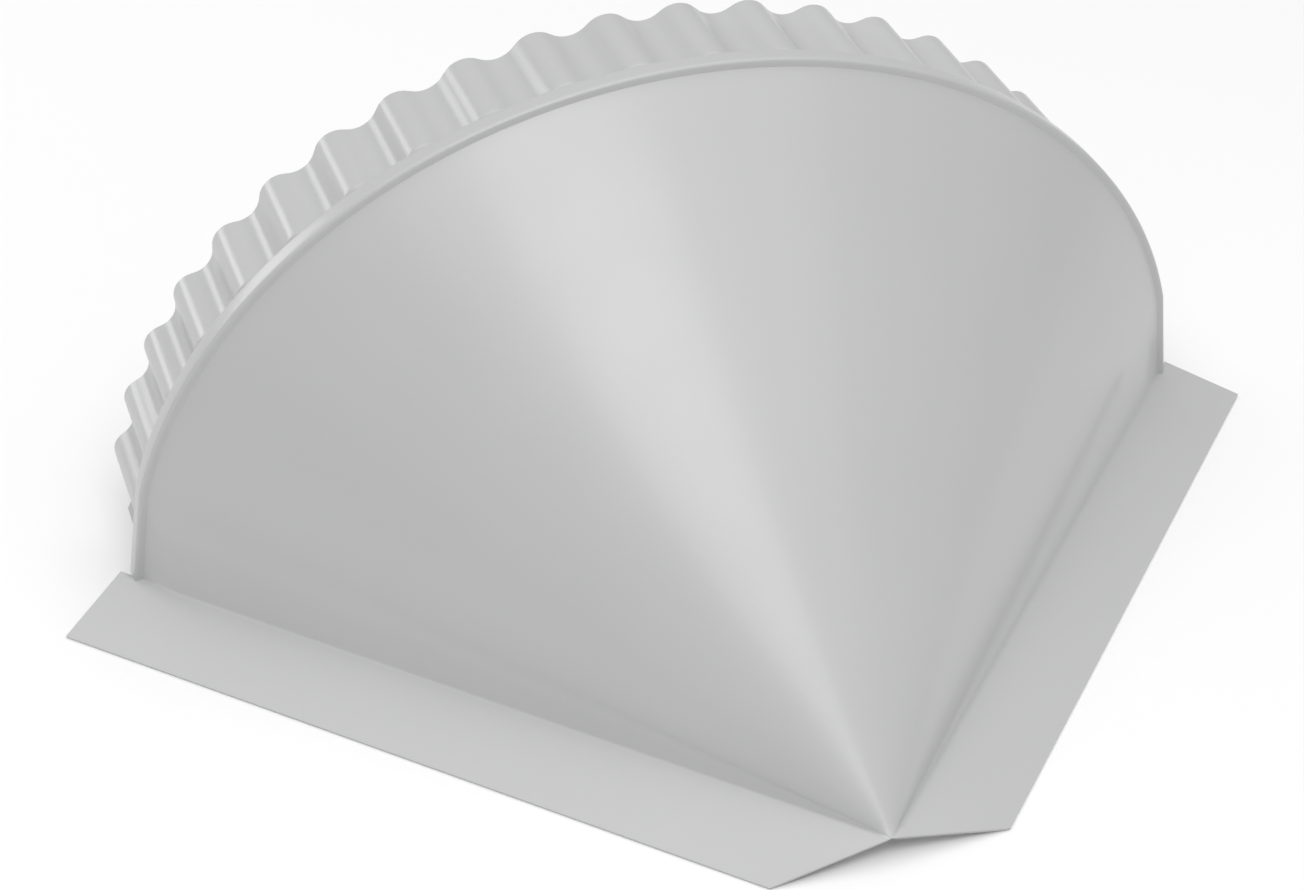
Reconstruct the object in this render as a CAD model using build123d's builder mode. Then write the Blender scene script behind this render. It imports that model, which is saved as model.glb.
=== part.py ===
"""Ridge end cap: a half cone of painted sheet steel that closes the open end of a half-round ridge.

One sheet makes the whole piece: the cone, the flange folded out along each of its lower edges,
the stop bead round its rim, and the crimped collar behind the bead that slips under the ridge
capping. +Z is up, the tip points to -Y and the collar to +Y. The cap rests on the outer edges of
its flanges, and the origin is below the middle of its box.
"""

import os
from math import acos, atan2, cos, degrees, hypot, radians, sin, tan

from build123d import *

# Arch of the rim, outside face: a flattened half round on two straight legs (millimetres, degrees)
SPAN = 251.0
RISE = 105.0
ARCH_DROP = 2.0
SHOULDER_TURN = 38.0
LEG_RISE = 22.5
LEG_BEND = 30.0

# Sheet and cone
SHEET = 0.6
CONE_LENGTH = 126.0

# Flanges that lie on the roof sheets
FLANGE_WIDTH = 19.5
FLANGE_TILT = 15.0
FLANGE_NOSE = 0.5
FLANGE_TAIL = 5.0
FLANGE_SKEW = 1.9

# Stop bead round the rim
BEAD_WIDTH = 4.8
BEAD_RISE = 1.4
BEAD_ROUND = 0.8

# Crimped collar that enters the ridge capping
COLLAR_LENGTH = 29.5
COLLAR_SET = 1.5
CRIMP_TURN = 7.72
CRIMPS_PER_SIDE = 11
CRIMP_DEPTH = 3.2
CORNER_TRIM = 13.0

# Arch worked out from the sizes above, as seen along the ridge with the folds at height 0
HALF_SPAN = SPAN / 2
ARCH_RISE = RISE + ARCH_DROP
LEG_TURN = degrees(acos((LEG_RISE + ARCH_DROP) / ARCH_RISE))

# Fold lines, from the tip to the feet of the rim, and the flange plane that hangs from the right one
TILT = radians(FLANGE_TILT)
FOLD_LENGTH = hypot(HALF_SPAN, CONE_LENGTH)
FOLD_ACROSS = HALF_SPAN / FOLD_LENGTH
FOLD_ALONG = CONE_LENGTH / FOLD_LENGTH
FOLD_RULING = Vector(FOLD_ACROSS, FOLD_ALONG, 0)
FOLD_HEIGHT = FLANGE_WIDTH * sin(TILT) + SHEET * cos(TILT)
APEX_Y = -(CONE_LENGTH + COLLAR_LENGTH - FLANGE_NOSE) / 2
APEX = Vector(0, APEX_Y, FOLD_HEIGHT)
FLANGE_PLANE = Plane(
    origin=APEX,
    x_dir=FOLD_RULING,
    z_dir=(FOLD_ALONG * sin(TILT), -FOLD_ACROSS * sin(TILT), cos(TILT)),
)

# Reach of the sheet from the tip before it is cut off at the rim, and spare length below the folds
REACH = 1.2 * FOLD_LENGTH
FOOT_SPARE = 10 * SHEET

# Bead and collar, as distances behind the tip, depths below the arch and the turn of half a crimp
BEAD_HALF = BEAD_WIDTH / 2
BEAD_MIDDLE = CONE_LENGTH + BEAD_HALF - SHEET
RING_BACK = BEAD_MIDDLE + BEAD_HALF - SHEET / 2
COLLAR_BACK = CONE_LENGTH + COLLAR_LENGTH
TOE = SHEET
HEEL = COLLAR_SET + CRIMP_DEPTH / 2 + 2 * SHEET
HALF_CRIMP = CRIMP_TURN / 2


def across(back):
    """Plane across the ridge, a distance behind the tip: x to the right, y up from the folds."""
    return Plane(origin=(0, APEX_Y + back, FOLD_HEIGHT), x_dir=(1, 0, 0), z_dir=(0, -1, 0))


def arch_frame(turn):
    """Point of the arch at an angle from the crown, with the outward and onward directions there."""
    across_share, up_share = sin(radians(turn)), cos(radians(turn))
    spot = Vector(HALF_SPAN * across_share, ARCH_RISE * up_share - ARCH_DROP)
    onward = Vector(HALF_SPAN * up_share, -ARCH_RISE * across_share).normalized()
    return spot, Vector(-onward.Y, onward.X), onward


def draw_half_arch(foot):
    """Right half of the arch, drawn with two arcs and a leg, from the crown to a foot below the fold."""
    crown, shoulder, leg_top = (tuple(arch_frame(turn)[0]) for turn in (0, SHOULDER_TURN, LEG_TURN))
    spread = (HALF_SPAN - leg_top[0]) / leg_top[1]
    crown_arc = TangentArc(crown, shoulder, tangent=Vector(1, 0, 0))
    TangentArc(shoulder, leg_top, tangent=crown_arc % 1)
    Line(leg_top, (HALF_SPAN + foot * spread, -foot))


def ruling(turn):
    """Direction of the cone's straight line from the tip to the arch, at an angle from the crown."""
    spot, _, _ = arch_frame(turn)
    return Vector(spot.X, CONE_LENGTH, spot.Y).normalized()


def roll_sheet(first, last, lean):
    """Sheet rolled from one ruling to another, about an axle that leans a given way from the first."""
    inward = (lean - first * lean.dot(first)).normalized()
    half_angle = atan2(1 - first.dot(last), inward.dot(last))
    axle = first * cos(half_angle) + inward * sin(half_angle)
    with BuildSketch(Plane(origin=APEX, x_dir=first, z_dir=first.cross(inward))) as strip:
        with BuildLine():
            Polyline((0, 0), (REACH, 0), (REACH, SHEET), (SHEET / tan(half_angle), SHEET), close=True)
        make_face()
    middle = axle * cos(half_angle)
    turned = (first - middle).get_angle(last - middle)
    revolve(strip.sketch, axis=Axis(APEX, axle), revolution_arc=turned)
    return axle


def crimp_top(step, skin):
    """Middle of one arc of the collar's wave, on the outer face or a skin's depth under it."""
    swing = 1 if step % 2 else -1
    spot, outward, _ = arch_frame(step * HALF_CRIMP)
    return spot + outward * (swing * CRIMP_DEPTH / 2 - COLLAR_SET - skin)


def crimp_join(step, skin):
    """Point where that arc begins: on the mean line of the wave, or a skin's depth square to it."""
    swing = 1 if step % 2 else -1
    spot, outward, onward = arch_frame((step - 0.5) * HALF_CRIMP)
    next_spot, _, _ = arch_frame((step + 0.5) * HALF_CRIMP)
    slope = 2 * atan2(CRIMP_DEPTH, (next_spot - spot).length)
    square = outward * cos(slope) - onward * (swing * sin(slope))
    return spot - outward * COLLAR_SET - square * skin


def collar_section():
    """Section of the collar where it leaves the bead: arcs of sheet, in and out by turns."""
    last = 2 * CRIMPS_PER_SIDE
    with BuildSketch(across(RING_BACK)) as section:
        with BuildLine():
            for skin in (0, SHEET):
                for step in range(-last, last + 1):
                    start, end = crimp_join(step, skin), crimp_join(step + 1, skin)
                    ThreePointArc(start, crimp_top(step, skin), end)
            for end in (-last, last + 1):
                Line(crimp_join(end, 0), crimp_join(end, SHEET))
        make_face()
    return section.sketch


# Stop bead, right half: a low rib with round shoulders, its toe in the cone and its heel across the collar
with BuildPart() as bead:
    with BuildLine(across(BEAD_MIDDLE)) as rim:
        draw_half_arch(FOOT_SPARE)
        fillet(rim.vertices().sort_by(Axis.Z)[1], LEG_BEND)
    crown_spot = across(BEAD_MIDDLE).from_local_coords((0, RISE))
    with BuildSketch(Plane(origin=crown_spot, x_dir=(0, 1, 0), z_dir=(1, 0, 0))):
        with BuildLine():
            for skin in (0, SHEET):
                wall, top = BEAD_HALF - skin, BEAD_RISE - skin
                corners = (-wall, -TOE), (-wall, top), (wall, top), (wall, -HEEL)
                FilletPolyline(*corners, radius=BEAD_ROUND - skin)
            Line((-BEAD_HALF, -TOE), (SHEET - BEAD_HALF, -TOE))
            Line((BEAD_HALF, -HEEL), (BEAD_HALF - SHEET, -HEEL))
        make_face()
    sweep(path=rim.wire())
    split(bisect_by=FLANGE_PLANE.offset(-SHEET / 2), keep=Keep.TOP)

# Cone, right half: crown and haunch rolled, leg flat, cut off at the rim and inside the flange
with BuildPart() as cone:
    shoulder_ruling, leg_ruling = ruling(SHOULDER_TURN), ruling(LEG_TURN)
    crown_axle = roll_sheet(ruling(0), shoulder_ruling, Vector(0, 1, 0))
    roll_sheet(shoulder_ruling, leg_ruling, crown_axle)
    with BuildSketch(Plane(origin=APEX, x_dir=leg_ruling, z_dir=FOLD_RULING.cross(leg_ruling))):
        with BuildLine():
            Polyline((0, 0), (REACH, 0), (REACH, -HALF_SPAN), close=True)
        make_face()
    extrude(amount=-SHEET)
    split(bisect_by=across(CONE_LENGTH), keep=Keep.TOP)
    split(bisect_by=FLANGE_PLANE.offset(-SHEET / 2), keep=Keep.TOP)

# Collar: the crimps start at the bead's heel, and the lower rear corners are trimmed off
with BuildPart() as collar:
    extrude(to_extrude=collar_section(), amount=RING_BACK - COLLAR_BACK)
    with BuildSketch(Plane.YZ):
        with BuildLine():
            Polyline(
                (APEX_Y + COLLAR_BACK, FOLD_HEIGHT - FOOT_SPARE),
                (APEX_Y + COLLAR_BACK, FOLD_HEIGHT + CORNER_TRIM),
                (APEX_Y + COLLAR_BACK - CORNER_TRIM - FOOT_SPARE, FOLD_HEIGHT - FOOT_SPARE),
                close=True,
            )
        make_face()
    extrude(amount=SPAN, both=True, mode=Mode.SUBTRACT)

# The right half with its flange, the same again across the ridge, and the collar
with BuildPart() as end_cap:
    with BuildSketch(FLANGE_PLANE):
        with BuildLine():
            Polyline(
                (-FLANGE_NOSE * FOLD_ALONG, SHEET),
                (-FLANGE_NOSE * FOLD_ALONG, -FLANGE_NOSE * FOLD_ACROSS / cos(TILT)),
                ((FLANGE_WIDTH * FOLD_ACROSS * cos(TILT) - FLANGE_NOSE) / FOLD_ALONG, -FLANGE_WIDTH),
                (FOLD_LENGTH + FLANGE_TAIL + FLANGE_SKEW, -FLANGE_WIDTH),
                (FOLD_LENGTH + FLANGE_TAIL, SHEET),
                close=True,
            )
        make_face()
    extrude(amount=-SHEET)
    add(cone.part)
    add(bead.part)
    split(bisect_by=Plane.YZ, keep=Keep.TOP)
    mirror(about=Plane.YZ)
    add(collar.part)

os.makedirs("parts", exist_ok=True)
end_cap.part.label = "end_cap"
export_step(end_cap.part, "parts/end_cap.step")
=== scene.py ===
from math import acos, cos, hypot, pi, radians, sin

import bmesh
import bpy
from mathutils import Matrix, Vector


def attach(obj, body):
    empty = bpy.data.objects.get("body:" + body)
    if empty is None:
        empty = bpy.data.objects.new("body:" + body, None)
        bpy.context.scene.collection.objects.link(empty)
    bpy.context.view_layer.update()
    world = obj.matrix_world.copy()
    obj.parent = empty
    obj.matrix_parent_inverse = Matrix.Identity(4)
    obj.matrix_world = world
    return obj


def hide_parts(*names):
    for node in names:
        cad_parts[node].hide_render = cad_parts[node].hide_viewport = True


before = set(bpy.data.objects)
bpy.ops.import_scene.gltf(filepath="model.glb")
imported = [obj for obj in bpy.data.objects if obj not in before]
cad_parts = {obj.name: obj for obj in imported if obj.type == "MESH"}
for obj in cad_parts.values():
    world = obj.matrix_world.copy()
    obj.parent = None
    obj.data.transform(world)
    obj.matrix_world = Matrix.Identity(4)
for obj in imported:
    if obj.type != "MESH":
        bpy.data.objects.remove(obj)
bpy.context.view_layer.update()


# End cap
# A half cone that closes the end of a half-round ridge, all of one sheet of coil-coated steel. The blank
# is cut flat, rolled to the arch and folded out into two flanges, and its rim is raised into a stop bead
# and crimped into the collar that slips under the ridge capping.

# Paint: light grey and semi-gloss, with a faint orange peel. Its tone and gloss drift a little over the
# sheet, as a roller coats it. Each kind of ripple has a number to the metre and a number of octaves.
PAINT_DARKER, PAINT_LIGHTER = (0.494, 0.501, 0.496, 1.0), (0.510, 0.517, 0.512, 1.0)
TONE_START, TONE_END = 0.3, 0.7
TONE_RIPPLES, GLOSS_RIPPLES, PEEL_RIPPLES = (14.0, 3.0), (60.0, 2.0), (700.0, 1.0)
SMOOTHEST, ROUGHEST = 0.30, 0.38
PEEL_STRENGTH, PEEL_HEIGHT = 0.06, 0.0002
PAINT_IOR, TOP_COAT_SHARE, TOP_COAT_ROUGHNESS = 1.5, 0.25, 0.16

paint = bpy.data.materials.new("painted_sheet")
paint.use_nodes = True
paint_nodes, paint_links = paint.node_tree.nodes, paint.node_tree.links
coating = paint_nodes["Principled BSDF"]
coating.inputs["IOR"].default_value = PAINT_IOR
coating.inputs["Coat Weight"].default_value = TOP_COAT_SHARE
coating.inputs["Coat Roughness"].default_value = TOP_COAT_ROUGHNESS
place = paint_nodes.new("ShaderNodeTexCoord")


def paint_noise(ripples, octaves):
    """Noise over the sheet, with that many ripples to the metre."""
    noise = paint_nodes.new("ShaderNodeTexNoise")
    noise.inputs["Scale"].default_value = ripples
    noise.inputs["Detail"].default_value = octaves
    paint_links.new(place.outputs["Object"], noise.inputs["Vector"])
    return noise.outputs["Fac"]


tone = paint_nodes.new("ShaderNodeValToRGB")
darker, lighter = tone.color_ramp.elements
darker.position, darker.color = TONE_START, PAINT_DARKER
lighter.position, lighter.color = TONE_END, PAINT_LIGHTER
paint_links.new(paint_noise(*TONE_RIPPLES), tone.inputs["Fac"])
paint_links.new(tone.outputs["Color"], coating.inputs["Base Color"])
gloss = paint_nodes.new("ShaderNodeMapRange")
gloss.inputs["To Min"].default_value = SMOOTHEST
gloss.inputs["To Max"].default_value = ROUGHEST
paint_links.new(paint_noise(*GLOSS_RIPPLES), gloss.inputs["Value"])
paint_links.new(gloss.outputs["Result"], coating.inputs["Roughness"])
orange_peel = paint_nodes.new("ShaderNodeBump")
orange_peel.inputs["Strength"].default_value = PEEL_STRENGTH
orange_peel.inputs["Distance"].default_value = PEEL_HEIGHT
paint_links.new(paint_noise(*PEEL_RIPPLES), orange_peel.inputs["Height"])
paint_links.new(orange_peel.outputs["Normal"], coating.inputs["Normal"])

# Sizes of the sheet, in metres, with angles in radians
SHEET = 0.0006
HALF_SPAN, ARCH_RISE, ARCH_DROP, LEG_RISE = 0.1255, 0.107, 0.002, 0.0225
CONE_LENGTH, COLLAR_LENGTH = 0.126, 0.0295
FLANGE_WIDTH, FLANGE_TILT = 0.0195, radians(15.0)
FLANGE_NOSE, FLANGE_TAIL, FLANGE_SKEW = 0.0005, 0.005, 0.0019
BEAD_WIDTH, BEAD_RISE, BEAD_ROUND, COLLAR_SET = 0.0048, 0.00136, 0.0008, 0.0015
CRIMP_TURN, CRIMPS_PER_SIDE = radians(7.72), 11
CRIMP_DEPTH, CRIMP_FADE, CORNER_TRIM = 0.0032, 0.0025, 0.013

# Turns from the crown to the leg, the fold, the ring's foot and the collar's end, which is a quarter crimp
# past a valley, and how far a leg spreads for each metre of its rise
LEG_TURN = acos((LEG_RISE + ARCH_DROP) / ARCH_RISE)
FOLD_TURN = acos(ARCH_DROP / ARCH_RISE)
RING_FOOT_TURN = acos((ARCH_DROP - SHEET) / ARCH_RISE)
COLLAR_TURN = (CRIMPS_PER_SIDE + 1 / 4) * CRIMP_TURN
LEG_SPREAD = HALF_SPAN * (1 - sin(LEG_TURN)) / LEG_RISE

# Fold lines and flanges. Cut square to its fold, a flange would jut out further than its nose does, so its
# outer edge starts with a lead along the fold. Its tail ends a little past the rim.
FOLD_LENGTH = hypot(HALF_SPAN, CONE_LENGTH)
FOLD_HEIGHT = FLANGE_WIDTH * sin(FLANGE_TILT) + SHEET * cos(FLANGE_TILT)
FLANGE_JUT = FLANGE_WIDTH * HALF_SPAN / FOLD_LENGTH * cos(FLANGE_TILT)
FLANGE_LEAD = (FLANGE_JUT - FLANGE_NOSE) * FOLD_LENGTH / CONE_LENGTH
TAIL_LENGTH = CONE_LENGTH * (1 + FLANGE_TAIL / FOLD_LENGTH)

# Runs of sheet that the bead and the collar use up, from the rim backwards
TOE_RUN = SHEET + BEAD_RISE - BEAD_ROUND
SHOULDER_RUN = BEAD_ROUND * pi / 2
TOP_RUN = BEAD_WIDTH - 2 * BEAD_ROUND
HEEL_RUN = BEAD_RISE - BEAD_ROUND + COLLAR_SET
BEAD_RUN = TOE_RUN + TOP_RUN + 2 * SHOULDER_RUN + HEEL_RUN
COLLAR_RUN = COLLAR_LENGTH + SHEET - BEAD_WIDTH

# Steps of the blank: columns across the arch and the collar, shares of a flange's width, and rows along each
# run, with the first just behind the tip and close ones where the crimps grow
CONE_COLUMNS, COLLAR_COLUMNS = 112, 360
TIP_ROW, CLOSE_RUN = 0.02 * CONE_LENGTH, 0.003
FLANGE_SHARES = (0.06, 0.94, 1.0)
CONE_ROWS = (1, 16, 2)
RING_ROWS = (2, 6, 3, 6, 3, 6, 8)


def evenly(first, last, steps):
    """Values from first to last in that many equal steps, both ends included."""
    return [first + (last - first) * step / steps for step in range(steps)] + [last]


def rows_through(stops, steps):
    """Rows from the first stop to the last, with a number of equal steps from each stop to the next."""
    rows = [stops[0]]
    for first, last, count in zip(stops, stops[1:], steps):
        rows += evenly(first, last, count)[1:]
    return rows


# Flat blank: one strip for the cone with its flanges and a ring for the bead and the collar. A point's x is
# its turn from the crown, its y the run of sheet behind the tip or the rim, and its z its share of a flange.
blank = bmesh.new()
on_ring = blank.verts.layers.float.new("ring")


def cut_strip(columns, runs, ring, kept):
    """Cuts a strip of the blank between columns of (turn, flange share) and runs, where it is kept."""
    points = {}
    for row in range(len(runs) - 1):
        for column in range(len(columns) - 1):
            if not kept(columns[column], columns[column + 1], runs[row + 1]):
                continue
            corners = ((column, row), (column + 1, row), (column + 1, row + 1), (column, row + 1))
            for corner in corners:
                if corner not in points:
                    turn, share = columns[corner[0]]
                    points[corner] = blank.verts.new((turn, runs[corner[1]], share))
                    points[corner][on_ring] = ring
            blank.faces.new([points[corner] for corner in corners])


right_flange = [(FOLD_TURN, share) for share in FLANGE_SHARES]
left_flange = [(-FOLD_TURN, share) for share in reversed(FLANGE_SHARES)]
cone_turns = [-FOLD_TURN, *evenly(-LEG_TURN, LEG_TURN, CONE_COLUMNS), FOLD_TURN]

# The cone ends at the rim, and its flanges run on past it
cut_strip(
    left_flange + [(turn, 0.0) for turn in cone_turns] + right_flange,
    rows_through((0.0, TIP_ROW, CONE_LENGTH, TAIL_LENGTH), CONE_ROWS),
    0.0,
    lambda here, there, run: max(here[1], there[1]) > 0 or run <= CONE_LENGTH,
)

# The bead goes down to the folds, and the collar behind it stops short of them
ring_turns = [
    -RING_FOOT_TURN,
    -FOLD_TURN,
    *evenly(-COLLAR_TURN, COLLAR_TURN, COLLAR_COLUMNS),
    FOLD_TURN,
    RING_FOOT_TURN,
]
ring_stops = (
    0.0,
    TOE_RUN,
    TOE_RUN + SHOULDER_RUN,
    BEAD_RUN - HEEL_RUN - SHOULDER_RUN,
    BEAD_RUN - HEEL_RUN,
    BEAD_RUN,
    BEAD_RUN + CLOSE_RUN,
    BEAD_RUN + COLLAR_RUN,
)
cut_strip(
    [(turn, 0.0) for turn in ring_turns],
    rows_through(ring_stops, RING_ROWS),
    1.0,
    lambda here, there, run: max(abs(here[0]), abs(there[0])) <= COLLAR_TURN or run <= BEAD_RUN,
)
blank_mesh = bpy.data.meshes.new("flat_blank")
blank.to_mesh(blank_mesh)
blank.free()
blank_object = bpy.data.objects.new("flat_blank", blank_mesh)
bpy.context.scene.collection.objects.link(blank_object)

# Forming: one tree of nodes holds the rule that puts each point of the blank in its place
sizes = {
    "Half Span": HALF_SPAN,
    "Arch Rise": ARCH_RISE,
    "Arch Drop": ARCH_DROP,
    "Leg Spread": LEG_SPREAD,
    "Cone Length": CONE_LENGTH,
    "Flange Width": FLANGE_WIDTH,
    "Flange Tilt": FLANGE_TILT,
    "Flange Lead": FLANGE_LEAD,
    "Flange Skew": FLANGE_SKEW,
    "Tail Length": TAIL_LENGTH,
    "Sheet": SHEET,
    "Bead Width": BEAD_WIDTH,
    "Bead Rise": BEAD_RISE,
    "Bead Round": BEAD_ROUND,
    "Collar Set": COLLAR_SET,
    "Collar Run": COLLAR_RUN,
    "Corner Trim": CORNER_TRIM,
    "Crimp Turn": CRIMP_TURN,
    "Crimp Depth": CRIMP_DEPTH,
    "Crimp Fade": CRIMP_FADE,
}
forming = bpy.data.node_groups.new("form_end_cap", "GeometryNodeTree")
forming.interface.new_socket("Blank", in_out="INPUT", socket_type="NodeSocketGeometry")
forming.interface.new_socket("Cap", in_out="OUTPUT", socket_type="NodeSocketGeometry")
for name in sizes:
    forming.interface.new_socket(name, in_out="INPUT", socket_type="NodeSocketFloat")
forming.interface.new_socket("Paint", in_out="INPUT", socket_type="NodeSocketMaterial")
entry = forming.nodes.new("NodeGroupInput")


class Field:
    """A value that varies over the sheet; arithmetic on it lays down Math nodes in the forming tree."""

    def __init__(self, socket):
        self.socket = socket

    def math(self, operation, *others):
        node = forming.nodes.new("ShaderNodeMath")
        node.operation = operation
        for socket, value in zip(node.inputs, (self, *others)):
            if isinstance(value, Field):
                forming.links.new(value.socket, socket)
            else:
                socket.default_value = value
        return Field(node.outputs["Value"])

    def within(self, limit):
        return self.math("MAXIMUM", 0.0).math("MINIMUM", limit)

    def __add__(self, other):
        return self.math("ADD", other)

    def __sub__(self, other):
        return self.math("SUBTRACT", other)

    def __mul__(self, other):
        return self.math("MULTIPLY", other)

    def __truediv__(self, other):
        return self.math("DIVIDE", other)


size = {name: Field(entry.outputs[name]) for name in sizes}
position = forming.nodes.new("GeometryNodeInputPosition")
split = forming.nodes.new("ShaderNodeSeparateXYZ")
forming.links.new(position.outputs["Position"], split.inputs["Vector"])
side = Field(split.outputs["X"]).math("SIGN")
turn = Field(split.outputs["X"]).math("ABSOLUTE")
run = Field(split.outputs["Y"])
share = Field(split.outputs["Z"])

# Arch of the rim: a flattened half round that gives way to the straight legs
arch_up = size["Arch Rise"] * turn.math("COSINE") - size["Arch Drop"]
arch_across = size["Half Span"] * turn.math("SINE")
leg_across = arch_across.math("MINIMUM", size["Half Span"] - size["Leg Spread"] * arch_up)

# Cone and flanges: straight lines from the tip to the arch, and a strip folded out along the lowest one
reach = run / size["Cone Length"]
fold = (size["Half Span"] * size["Half Span"] + size["Cone Length"] * size["Cone Length"]).math("SQRT")
fold_across, fold_along = size["Half Span"] / fold, size["Cone Length"] / fold
outward = size["Flange Width"] * size["Flange Tilt"].math("COSINE")
slide = size["Flange Lead"] + run / size["Tail Length"] * (size["Flange Skew"] - size["Flange Lead"])
cone_across = reach * leg_across + share * (fold_across * slide + fold_along * outward)
cone_back = run + share * (fold_along * slide - fold_across * outward)
cone_up = reach * arch_up - share * size["Flange Width"] * size["Flange Tilt"].math("SINE")

# Bead: the run of the ring is used up by its toe, front shoulder, top, back shoulder and heel in turn
shoulder_run = size["Bead Round"] * (pi / 2)
wall_run = size["Bead Rise"] - size["Bead Round"]
toe_run, heel_run = wall_run + size["Sheet"], wall_run + size["Collar Set"]
top_run = size["Bead Width"] - size["Bead Round"] * 2.0
toe = run.within(toe_run)
front_shoulder = (run - toe_run).within(shoulder_run)
top = (run - toe_run - shoulder_run).within(top_run)
back_shoulder = (run - toe_run - shoulder_run - top_run).within(shoulder_run)
bend = (front_shoulder + back_shoulder) / size["Bead Round"]
heel = (run - toe_run - shoulder_run - top_run - shoulder_run).within(heel_run)
bead_back = top + size["Bead Round"] - size["Bead Round"] * bend.math("COSINE")

# Collar: what is left of the run, crimped in circular arcs that swing in and out and grow behind the bead
slip = (run - toe_run - shoulder_run - top_run - shoulder_run - heel_run).within(size["Collar Run"])
growth = forming.nodes.new("ShaderNodeMapRange")
growth.interpolation_type = "SMOOTHSTEP"
forming.links.new(slip.socket, growth.inputs["Value"])
forming.links.new(size["Crimp Fade"].socket, growth.inputs["From Max"])
grown = Field(growth.outputs["Result"])
lean_across, lean_up = size["Arch Rise"] * turn.math("SINE"), size["Half Span"] * turn.math("COSINE")
lean = (lean_across * lean_across + lean_up * lean_up).math("SQRT")
half_crimps = turn * 2.0 / size["Crimp Turn"]
swing = (half_crimps * pi).math("COSINE").math("SIGN") * -1.0
from_middle = (half_crimps - half_crimps.math("ROUND")) * size["Crimp Turn"] * 0.5 * lean
half_width, half_depth = size["Crimp Turn"] * 0.25 * lean, size["Crimp Depth"] * 0.5
crimp_radius = (half_width * half_width + half_depth * half_depth) / size["Crimp Depth"]
crimp_arc = (crimp_radius * crimp_radius - from_middle * from_middle).math("SQRT")
wave = swing * (crimp_arc - crimp_radius + half_depth)
trim = (size["Corner Trim"] - arch_up).within(size["Corner Trim"]) / size["Collar Run"]
height = toe - size["Sheet"] + size["Bead Round"] * bend.math("SINE") - heel + grown * wave
ring_across = leg_across + grown * (arch_across - leg_across) + height * lean_across / lean
ring_back = size["Cone Length"] - size["Sheet"] + bead_back + slip - slip * trim
ring_up = arch_up + height * lean_up / lean

# The formed sheet, with its points in place, its tip closed and its paint on
TIP_GAP = 0.00002
ring = forming.nodes.new("GeometryNodeInputNamedAttribute")
ring.data_type = "FLOAT"
ring.inputs["Name"].default_value = "ring"
ring_share = Field(ring.outputs["Attribute"])
formed = forming.nodes.new("ShaderNodeCombineXYZ")
for axis, cone_part, ring_part in (
    ("X", cone_across, ring_across),
    ("Y", cone_back, ring_back),
    ("Z", cone_up, ring_up),
):
    part = cone_part + ring_share * (ring_part - cone_part)
    forming.links.new((side * part if axis == "X" else part).socket, formed.inputs[axis])
moved = forming.nodes.new("GeometryNodeSetPosition")
forming.links.new(entry.outputs["Blank"], moved.inputs["Geometry"])
forming.links.new(formed.outputs["Vector"], moved.inputs["Position"])
tip = forming.nodes.new("GeometryNodeMergeByDistance")
tip.inputs["Distance"].default_value = TIP_GAP
forming.links.new(moved.outputs["Geometry"], tip.inputs["Geometry"])
smooth = forming.nodes.new("GeometryNodeSetShadeSmooth")
forming.links.new(tip.outputs["Geometry"], smooth.inputs[0])
realized = forming.nodes.new("GeometryNodeRealizeInstances")
forming.links.new(smooth.outputs[0], realized.inputs["Geometry"])
painted = forming.nodes.new("GeometryNodeSetMaterial")
forming.links.new(realized.outputs["Geometry"], painted.inputs["Geometry"])
forming.links.new(entry.outputs["Paint"], painted.inputs["Material"])
leave = forming.nodes.new("NodeGroupOutput")
forming.links.new(painted.outputs["Geometry"], leave.inputs["Cap"])

press = blank_object.modifiers.new("form", "NODES")
press.node_group = forming
for item in forming.interface.items_tree:
    if item.in_out == "INPUT" and item.name in sizes:
        press[item.identifier] = sizes[item.name]
    elif item.name == "Paint":
        press[item.identifier] = paint
gauge = blank_object.modifiers.new("gauge", "SOLIDIFY")
gauge.thickness = SHEET
gauge.offset = -1.0
gauge.use_even_offset = True
gauge.use_quality_normals = True

# The plain mesh, lifted on to its flanges' outer edges, with the origin below the middle of its box
CAP_START = -(CONE_LENGTH + COLLAR_LENGTH - FLANGE_NOSE) / 2
SHARP_EDGE = radians(80.0)
evaluated = blank_object.evaluated_get(bpy.context.evaluated_depsgraph_get())
cap_mesh = bpy.data.meshes.new_from_object(evaluated)
bpy.data.objects.remove(blank_object)
cap_mesh.transform(Matrix.Translation((0.0, CAP_START, FOLD_HEIGHT)))
cap_mesh.set_sharp_from_angle(angle=SHARP_EDGE)
cap_mesh.name = "end_cap_sheet"
cap = bpy.data.objects.new("end_cap_sheet", cap_mesh)
bpy.context.scene.collection.objects.link(cap)
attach(cap, "root")
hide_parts("end_cap")


# Floor
# A wide sheet of pale matt board that the cap lies on. It reaches well past the camera's view,
# so that no edge of it shows.
FLOOR_REACH = 4.0
FLOOR_GREY, FLOOR_ROUGHNESS = (0.92, 0.92, 0.92, 1.0), 0.9

floor_mesh = bpy.data.meshes.new("floor")
floor_corners = [(x * FLOOR_REACH, y * FLOOR_REACH, 0.0) for x, y in ((-1, -1), (1, -1), (1, 1), (-1, 1))]
floor_mesh.from_pydata(floor_corners, [], [(0, 1, 2, 3)])
floor = bpy.data.objects.new("floor", floor_mesh)
bpy.context.scene.collection.objects.link(floor)
floor_paint = bpy.data.materials.new("pale_floor")
floor_paint.use_nodes = True
board = floor_paint.node_tree.nodes["Principled BSDF"]
board.inputs["Base Color"].default_value = FLOOR_GREY
board.inputs["Roughness"].default_value = FLOOR_ROUGHNESS
board.inputs["Specular IOR Level"].default_value = 0.0
floor_mesh.materials.append(floor_paint)


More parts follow.
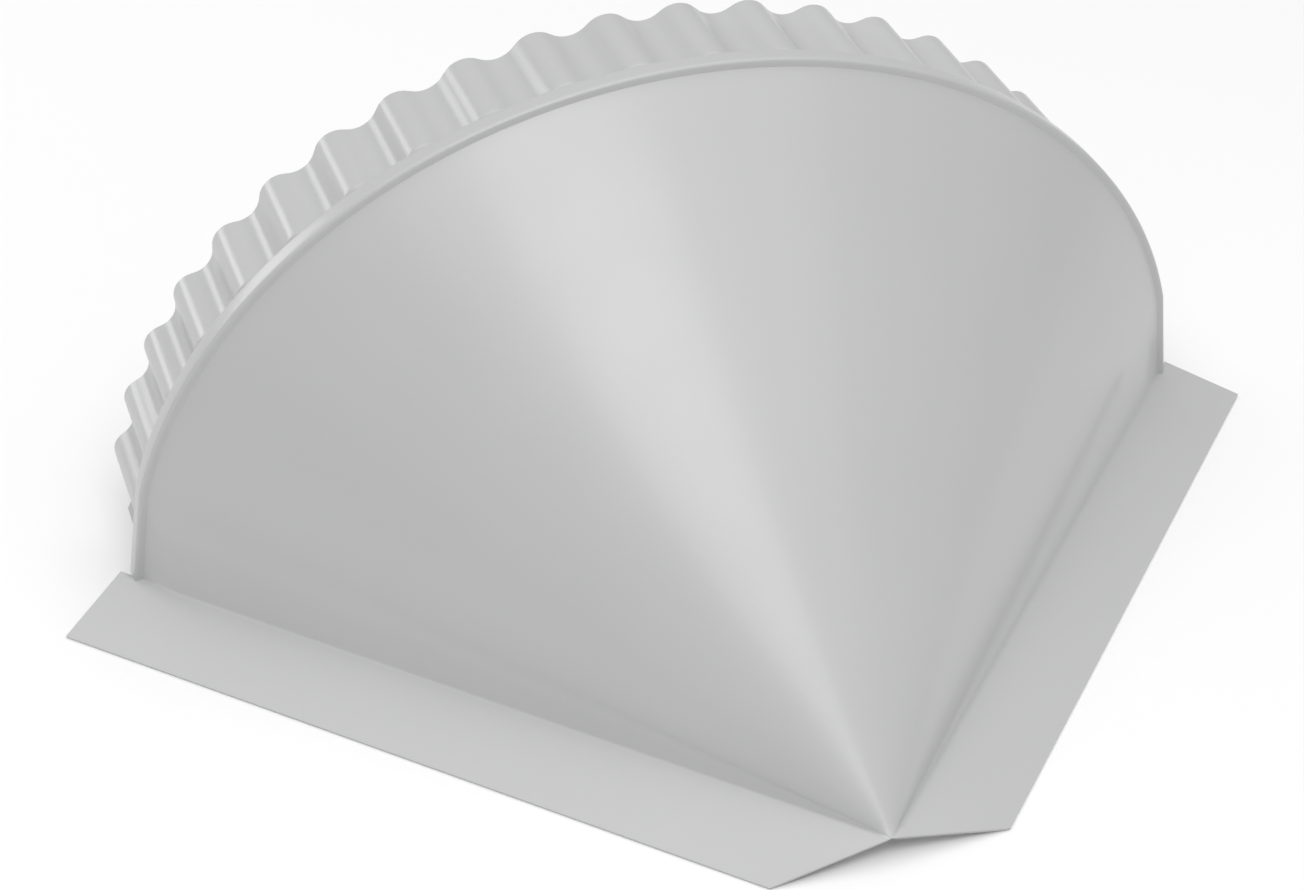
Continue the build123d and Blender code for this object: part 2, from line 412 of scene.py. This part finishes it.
# Light
# A white room with a wide soft ceiling, one soft box above the cap's front for the bright band on the cone,
# and one low behind its left side for the gleam on the crimps. Each of the three has a place, a point that
# it faces, a width, a depth and its watts.
ROOM_WHITE, ROOM_STRENGTH = (1.0, 1.0, 1.0, 1.0), 0.46
SOFT_BOXES = (
    ("ceiling", (0.06, 0.12, 1.6), (0.06, 0.12, 0.0), 2.3, 2.3, 18.5),
    ("front_soft_box", (-0.105, -0.52, 0.95), (0.0, 0.0, 0.06), 0.5, 0.5, 2.6),
    ("back_soft_box", (-0.60, 0.74, 0.30), (0.0, 0.06, 0.08), 0.34, 0.24, 0.9),
)

room = bpy.data.worlds.new("white_room")
room.use_nodes = True
room.node_tree.nodes["Background"].inputs["Color"].default_value = ROOM_WHITE
room.node_tree.nodes["Background"].inputs["Strength"].default_value = ROOM_STRENGTH
bpy.context.scene.world = room
for name, spot, aim, width, depth, watts in SOFT_BOXES:
    lamp_data = bpy.data.lights.new(name, "AREA")
    lamp_data.shape = "RECTANGLE"
    lamp_data.size, lamp_data.size_y, lamp_data.energy = width, depth, watts
    lamp = bpy.data.objects.new(name, lamp_data)
    lamp.location = spot
    lamp.rotation_euler = (Vector(aim) - Vector(spot)).to_track_quat("-Z", "Y").to_euler()
    bpy.context.scene.collection.objects.link(lamp)


# Camera
# It stands in front of the cap, to its left and above, where the photo was taken from,
# and is rolled a little as the photo is.
AZIMUTH, ELEVATION, ROLL = radians(-20.166), radians(37.062), radians(1.225)
AIM, DISTANCE = Vector((-0.02313, 0.00244, 0.05121)), 0.57174
LENS, SENSOR, NEAREST = 76.058, 36.0, 0.01

back = Vector((sin(AZIMUTH) * cos(ELEVATION), -cos(AZIMUTH) * cos(ELEVATION), sin(ELEVATION)))
right = Vector((cos(AZIMUTH), sin(AZIMUTH), 0.0))
up = back.cross(right)
lens_right = right * cos(ROLL) + up * sin(ROLL)
lens_up = up * cos(ROLL) - right * sin(ROLL)
camera_data = bpy.data.cameras.new("camera")
camera_data.lens = LENS
camera_data.sensor_width = SENSOR
camera_data.clip_start = NEAREST
camera = bpy.data.objects.new("camera", camera_data)
facing = Matrix((lens_right, lens_up, back)).transposed().to_4x4()
camera.matrix_world = Matrix.Translation(AIM + back * DISTANCE) @ facing
bpy.context.scene.collection.objects.link(camera)
bpy.context.scene.camera = camera
bpy.context.scene.view_settings.view_transform = "Standard"
